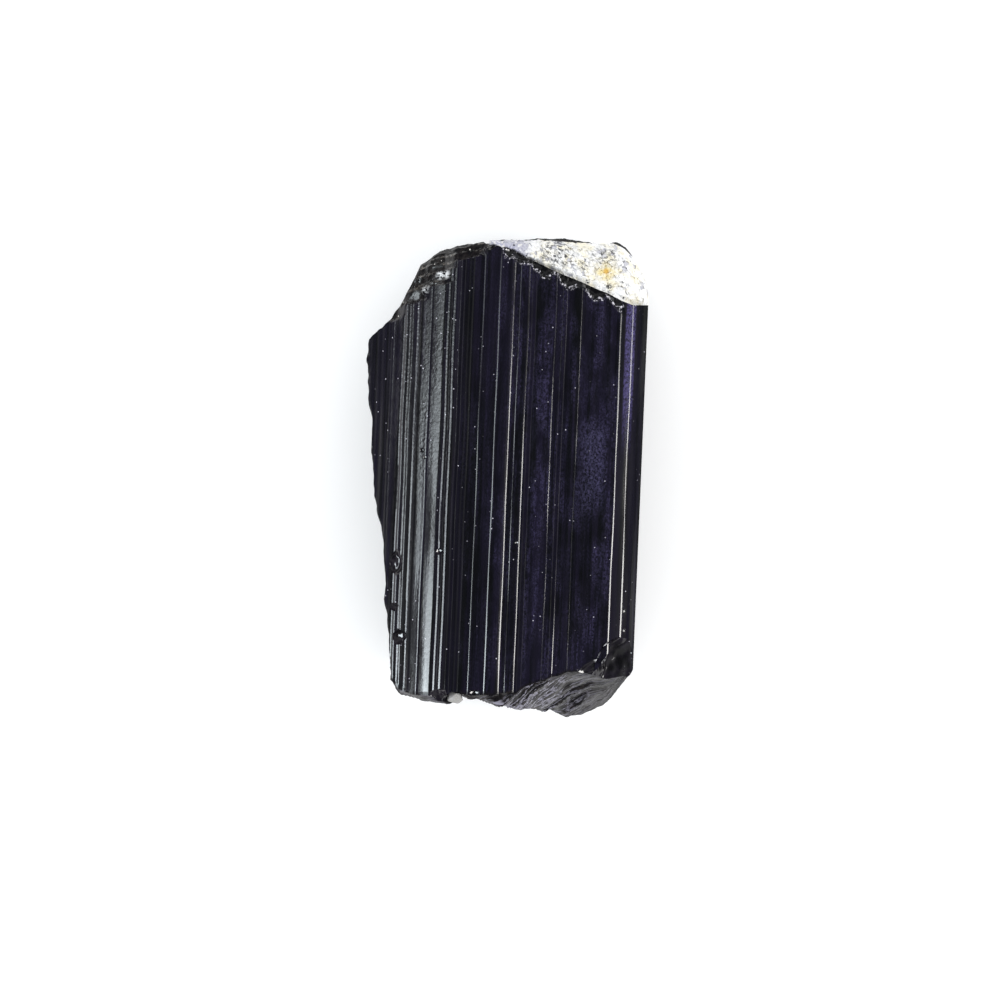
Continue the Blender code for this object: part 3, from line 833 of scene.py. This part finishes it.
def broken_specular(n, x, y):
    """Specular level of the broken faces: least to the right, at the far end and under the near top edge."""
    dull = n.times(n.spread(y, *FAR_LEDGES, 1.0, 0.7), n.spread(x, 1.0, 8.0, 0.50, 0.34))
    under_edge = n.times(n.spread(n.coordinate("Z"), 13.9, 14.6), n.spread(y, -15.6, -14.6, 1.0, 0.0))
    return n.times(dull, n.blend(under_edge, 1.0, 0.4))


def tourmaline_relief(n, y, matt, etched):
    """Fine lines along the crystal, frost where it is etched, and lumps or streaks where it is broken."""
    lines = n.bump(n.noise(7.0, 2.0, 0.6, (1.0, 0.03, 1.0)), LINES_BUMP)
    frost = n.bump(n.times(n.noise(3.6, 2.0, 0.5), etched), ETCHED_BUMP, lines)
    lumps = n.times(n.noise(2.4, 3.0, 0.65, (0.5, 1.0, 1.0)), n.spread(y, *FAR_LEDGES, 1.0, 0.35))
    silk = n.noise(4.5, 3.0, 0.6, (0.08, 0.25, 1.0), math.atan(NEAR_RIDGE_RISE))
    rough = n.times(n.blend(n.spread(y, *NEAR_FACE, 1.0, 0.0), lumps, silk), matt)
    return n.bump(rough, BROKEN_BUMP, frost)


def prism_colour(n, x, y):
    """Streaks from black to navy along the c-axis, violet clouds, one violet strip and a few pale specks,
    partly dust and partly painted glints.
    """
    stripes = n.noise(1.9, 3.0, 0.65, (1.0, 0.02, 1.0))
    body = n.mix(n.spread(stripes, 0.38, 0.62), BLACK, NAVY)
    fine = n.noise(6.0, 4.0, 0.85, (1.0, 0.7, 1.0))
    streaks = n.noise(2.6, 3.0, 0.7, (1.0, 0.03, 1.0))
    clouds = n.noise(0.42, 2.0, 0.6, (1.5, 0.6, 1.0))
    middle = n.times(n.spread(x, -5.0, 3.5, 0.15, 1.0), n.spread(x, 9.4, 10.0, 1.0, 0.0))
    veil = n.times(n.spread(fine, 0.34, 0.78), n.spread(streaks, 0.36, 0.66, 0.15, 1.0))
    veil = n.times(veil, n.spread(clouds, 0.30, 0.68))
    body = n.mix(n.times(veil, middle), body, VEIL_VIOLET)
    cloud = n.times(n.spread(x, 5.9, 7.2), n.spread(x, 8.2, 8.9, 1.0, 0.0), n.spread(y, -4.2, -1.0))
    cloud = n.times(cloud, n.spread(y, 3.0, 5.4, 1.0, 0.0), n.spread(fine, 0.38, 0.72))
    body = n.mix(n.times(cloud, n.spread(clouds, 0.2, 0.5, 0.35, 1.0)), body, CLOUD_VIOLET)
    strip = n.times(n.spread(x, 9.9, 10.1), n.spread(x, 10.7, 10.9, 1.0, 0.0), n.spread(y, 1.0, 8.0))
    strip = n.times(strip, n.spread(n.coordinate("Z"), 10.0, 12.0))
    body = n.mix(n.times(strip, n.spread(fine, 0.34, 0.68)), body, STRIP_VIOLET)
    # Pale specks, partly dust and partly painted glints, in the clouds and all over the upper left facets.
    upper_left = n.times(n.spread(x, -4.4, -3.8, 1.0, 0.0), n.spread(y, 0.0, 5.0))
    dust_and_glint_area = n.maths("MAXIMUM", n.spread(clouds, 0.44, 0.62), upper_left)
    specks = n.times(n.spread(n.voronoi(1.5), 0.05, 0.09, 1.0, 0.0), dust_and_glint_area)
    return n.mix(specks, body, DUST_AND_GLINT_PALE)


def rubble_colour(n, y):
    """Black to brown broken faces: pale painted highlights on the ledge lips, lilac-grey painted highlights
    on the near ridges, white painted glints, and cream specks that are partly dust and partly painted
    sparkle, on the ledges.
    """
    x, z = n.coordinate("X"), n.coordinate("Z")
    rubble = n.mix(n.spread(n.noise(2.2, 4.0, 0.7), 0.40, 0.7), RUBBLE_BLACK, RUBBLE_BROWN)
    # Pale lines of painted highlight along the ledge lips.
    lip_highlight = n.times(n.attribute("lip_highlight"), n.spread(n.noise(3.0, 2.0, 0.7), 0.40, 0.60))
    rubble = n.mix(lip_highlight, rubble, LIP_HIGHLIGHT_BROWN)
    # Lilac-grey painted highlight along the near face's ridges.
    ridges = n.noise(2.4, 3.0, 0.7, (0.07, 0.25, 1.0), math.atan(NEAR_RIDGE_RISE))
    ridge_highlight = n.spread(n.maths("ABSOLUTE", n.maths("SUBTRACT", ridges, 0.5)), 0.0, 0.045, 1.0, 0.0)
    ridge_highlight = n.times(ridge_highlight, n.spread(x, -3.0, -1.0, 0.3, 1.0), n.spread(x, 3.0, 9.5, 1.0, 0.20))
    ridge_highlight = n.times(ridge_highlight, n.spread(y, *NEAR_FACE, 1.0, 0.0), n.spread(z, 14.5, 15.1, 1.0, 0.0))
    ridge_highlight = n.times(ridge_highlight, n.spread(z, 7.5, 11.5, 0.25, 1.0))
    rubble = n.mix(ridge_highlight, rubble, RIDGE_HIGHLIGHT_LILAC)
    # White spots painted as glints on the ledges.
    painted_glint = n.times(n.spots(PAINTED_GLINT_SPOTS), n.spread(n.noise(3.8, 3.0, 0.7, (0.6, 1.0, 1.0)), 0.46, 0.52))
    rubble = n.mix(painted_glint, rubble, PAINTED_GLINT_WHITE)
    # Cream specks on the far ledges: partly dust, partly painted sparkle.
    dust_and_sparkle = n.times(n.spread(n.voronoi(1.35), 0.06, 0.10, 1.0, 0.0), n.spread(y, 12.0, 13.0))
    return n.mix(dust_and_sparkle, rubble, DUST_AND_SPARKLE_CREAM)


def shell_material():
    """The glassy black inside of the conchoidal bites, with a white painted highlight along the edge of the
    lower right one.
    """
    material = bpy.data.materials.new("tourmaline_conchoidal")
    n = Nodes(material)
    tone = n.spread(n.noise(1.2, 3.0, 0.6), 0.3, 0.7)
    # A painted highlight: white streaks along the bite's edge.
    glint_streak = n.times(n.spots(PAINTED_GLINT_STREAKS), n.spread(n.noise(4.0, 2.0, 0.6), 0.42, 0.50))
    body = n.mix(tone, SHELL_BLACK, SHELL_VIOLET)
    n.link(n.mix(glint_streak, body, GLINT_STREAK_WHITE), n.shader.inputs["Base Color"])
    n.link(n.spread(n.noise(3.0, 2.0), 0.3, 0.7, 0.05, 0.14), n.shader.inputs["Roughness"])
    n.shader.inputs["IOR"].default_value = TOURMALINE_IOR
    n.link(n.bump(n.noise(2.4, 2.0, 0.6), SHELL_BUMP), n.shader.inputs["Normal"])
    return material


def albite_material():
    """White and cream albite: glassy grey grains, painted shade in the gaps between them, a grey tip, dirt,
    an iron stain and a grey lone grain.
    """
    material = bpy.data.materials.new("albite_sugary")
    n = Nodes(material)
    grain, gap = n.attribute("grain"), n.attribute("gap")
    x, y = n.coordinate("X"), n.coordinate("Y")
    body = n.mix(n.spread(n.noise(0.9, 3.0, 0.6), 0.42, 0.66), ALBITE_WHITE, ALBITE_CREAM)
    tip = n.spread(x, 0.4, 2.4, 1.0, 0.0)
    glassy = n.spread(n.maths("ADD", grain, n.spread(x, -0.5, 4.0, -0.40, 0.0)), 0.04, 0.15, 1.0, 0.0)
    body = n.mix(glassy, body, GLASSY_GREY)
    # Grey painted shade in the gaps between the grains.
    body = n.mix(n.times(gap, n.spread(n.noise(1.4, 2.0), 0.50, 0.70)), body, GAP_PAINTED_SHADE)
    body = n.mix(n.times(tip, n.spread(n.noise(4.0, 2.0), 0.35, 0.60, 1.0, 0.3)), body, TIP_GREY)
    soot = n.maths("MAXIMUM", n.spots(SOOT_SPOTS), n.times(n.near(*FAINT_SOOT), FAINT_SOOT_SHARE))
    dirt = n.times(soot, n.spread(n.noise(3.0, 3.0, 0.7), 0.50, 0.58))
    body = n.mix(dirt, body, DIRT_BLACK)
    specks = n.spread(n.voronoi(1.4), 0.10, 0.16, 1.0, 0.0)
    speckled = n.maths("MAXIMUM", n.spread(n.noise(0.7, 1.0), 0.50, 0.60), n.spread(y, 17.6, 18.6))
    body = n.mix(n.times(specks, speckled), body, SPECK_BLACK)
    halo = n.times(n.near(*STAIN_HALO), n.spread(n.noise(1.6, 2.0), 0.3, 0.6))
    body = n.mix(halo, body, HALO_YELLOW)
    body = n.mix(n.times(n.near(*STAIN_CORE), STAIN_CORE_SHARE), body, STAIN_ORANGE)
    lone = n.times(n.near(*LONE_GRAIN), n.spread(n.noise(1.8, 3.0, 0.6), 0.30, 0.70, 1.0, 0.7))
    body = n.mix(lone, body, LONE_GREY)
    n.link(body, n.shader.inputs["Base Color"])
    n.link(n.blend(glassy, 0.50, 0.22), n.shader.inputs["Roughness"])
    n.shader.inputs["IOR"].default_value = ALBITE_IOR
    n.link(n.bump(n.noise(5.0, 4.0, 0.75), ALBITE_BUMP), n.shader.inputs["Normal"])
    return material


def floor_material():
    """A matt white board that glows a little, as a lit table does."""
    material = bpy.data.materials.new("matt_white_board")
    n = Nodes(material)
    n.link(n.mix(n.noise(0.02, 3.0), BOARD_WHITE, BOARD_WHITER), n.shader.inputs["Base Color"])
    n.shader.inputs["Roughness"].default_value = 0.9
    n.shader.inputs["Specular IOR Level"].default_value = 0.1
    n.shader.inputs["Emission Color"].default_value = (1.0, 1.0, 1.0, 1.0)
    n.shader.inputs["Emission Strength"].default_value = FLOOR_GLOW
    return material


# ---------------------------------------------------------------- the studio
IMAGE_SIDE = 84.0
LENS = 100.0
SENSOR = 36.0
CAMERA_OVER = (0.0, -2.34)
CAMERA_ROLL = math.radians(2.4)
FLOOR_GLOW = 0.13
FLOOR_SIDE = 4.0
AMBIENT, AMBIENT_COLOUR = 1.15, (0.97, 0.985, 1.0, 1)
BACKDROP = 1.05
NEAR_CLIP = 0.001
# Cycles takes an area light's radiance as its power over this many times its area.
POWER_PER_RADIANCE = 4
SOFTBOX_TILT, SOFTBOX_DISTANCE, SOFTBOX_WIDTH = 55, 0.6, 0.11
# Softboxes: name, side, colour, and parts along the c-axis: near and far ends in metres, and radiance.
SOFTBOXES = [
    ("left", -1, (0.86, 0.95, 1.0), [
        (-0.16, -0.05, 11.5), (-0.05, -0.035, 6.0), (-0.035, 0.03, 5.0), (0.03, 0.04, 3.0), (0.04, 0.05, 1.4),
        (0.05, 0.11, 0.8),
    ]),
    ("right", 1, (1.0, 0.98, 0.95), [(-0.16, 0.02, 12.0), (0.02, 0.045, 7.0), (0.045, 0.11, 2.5)]),
]
# What glossy surfaces see of the studio: height of the direction, -1 down to 1 up, and brightness.
TENT = [
    (-1.0, 0.04), (-0.85, 0.10), (-0.68, 0.90), (-0.52, 1.60), (-0.36, 0.40), (-0.20, 1.30), (-0.05, 0.60),
    (0.05, 0.05), (0.25, 0.08), (0.50, 0.38), (0.75, 0.28), (0.93, 0.05), (1.0, 0.02),
]


def build_camera():
    data = bpy.data.cameras.new("camera")
    data.lens = LENS
    data.sensor_width = SENSOR
    data.clip_start = NEAR_CLIP
    camera = bpy.data.objects.new("camera", data)
    camera.location = Vector((*CAMERA_OVER, TOP + IMAGE_SIDE * LENS / SENSOR)) * MM
    camera.rotation_euler = (0, 0, CAMERA_ROLL)
    bpy.context.scene.collection.objects.link(camera)
    bpy.context.scene.camera = camera


def build_softbox(name, side, colour, parts):
    """Area lights aimed at the crystal's top from -X or +X, end to end along the c-axis."""
    tilt = math.radians(SOFTBOX_TILT)
    aim = Vector((side * math.sin(tilt), 0, math.cos(tilt)))
    for near, far, radiance in parts:
        data = bpy.data.lights.new("softbox_" + name, "AREA")
        data.shape = "RECTANGLE"
        data.size, data.size_y = far - near, SOFTBOX_WIDTH
        data.energy = radiance * POWER_PER_RADIANCE * data.size * data.size_y
        data.color = colour
        light = bpy.data.objects.new("softbox_" + name, data)
        light.location = aim * SOFTBOX_DISTANCE + Vector((0, (near + far) / 2, TOP * MM))
        light.rotation_euler = aim.to_track_quat("Z", "Y").to_euler()
        bpy.context.scene.collection.objects.link(light)


def build_world():
    """White to the camera, an even ambient for matt surfaces, and a graded tent for glossy ones."""
    world = bpy.data.worlds.new("studio")
    bpy.context.scene.world = world
    world.use_nodes = True
    tree = world.node_tree
    tree.nodes.clear()

    def node(kind):
        return tree.nodes.new("ShaderNode" + kind)

    path, split, ramp, output = node("LightPath"), node("SeparateXYZ"), node("ValToRGB"), node("OutputWorld")
    tree.links.new(node("TexCoord").outputs["Generated"], split.inputs[0])
    height = node("MapRange")
    height.inputs["From Min"].default_value = -1.0
    tree.links.new(split.outputs["Z"], height.inputs["Value"])
    tree.links.new(height.outputs["Result"], ramp.inputs["Fac"])
    while len(ramp.color_ramp.elements) < len(TENT):
        ramp.color_ramp.elements.new(0.5)
    for element, (rise, brightness) in zip(ramp.color_ramp.elements, TENT):
        element.position = (1.0 + rise) / 2.0
        element.color = (brightness, brightness, brightness, 1)
    ambient, tent, backdrop = node("Background"), node("Background"), node("Background")
    ambient.inputs["Color"].default_value = AMBIENT_COLOUR
    ambient.inputs["Strength"].default_value = AMBIENT
    backdrop.inputs["Color"].default_value = (1, 1, 1, 1)
    backdrop.inputs["Strength"].default_value = BACKDROP
    tree.links.new(ramp.outputs["Color"], tent.inputs["Color"])
    glossy, seen = node("MixShader"), node("MixShader")
    for mixer, share, first, second in (
        (glossy, "Is Glossy Ray", ambient, tent), (seen, "Is Camera Ray", glossy, backdrop),
    ):
        tree.links.new(path.outputs[share], mixer.inputs[0])
        tree.links.new(first.outputs[0], mixer.inputs[1])
        tree.links.new(second.outputs[0], mixer.inputs[2])
    tree.links.new(seen.outputs[0], output.inputs["Surface"])


def build_studio():
    bpy.context.scene.view_settings.view_transform = "Standard"
    bpy.ops.mesh.primitive_plane_add(size=FLOOR_SIDE)
    floor = bpy.context.object
    floor.name = "floor"
    floor.data.materials.append(floor_material())
    floor.visible_glossy = False
    for softbox in SOFTBOXES:
        build_softbox(*softbox)
    build_world()


def main():
    build_camera()
    crystal, crust, grain = build_crystal(), build_crust(), build_grain()
    albite = albite_material()
    for piece in (crust, grain):
        piece.data.materials.append(albite)
    for piece, node, slot in (
        (crystal, "tourmaline_crystal", "tourmaline"), (crust, "albite_matrix", "albite"),
        (grain, "albite_chip", "albite"),
    ):
        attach(piece, "root")
        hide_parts(node)
    build_studio()


main()
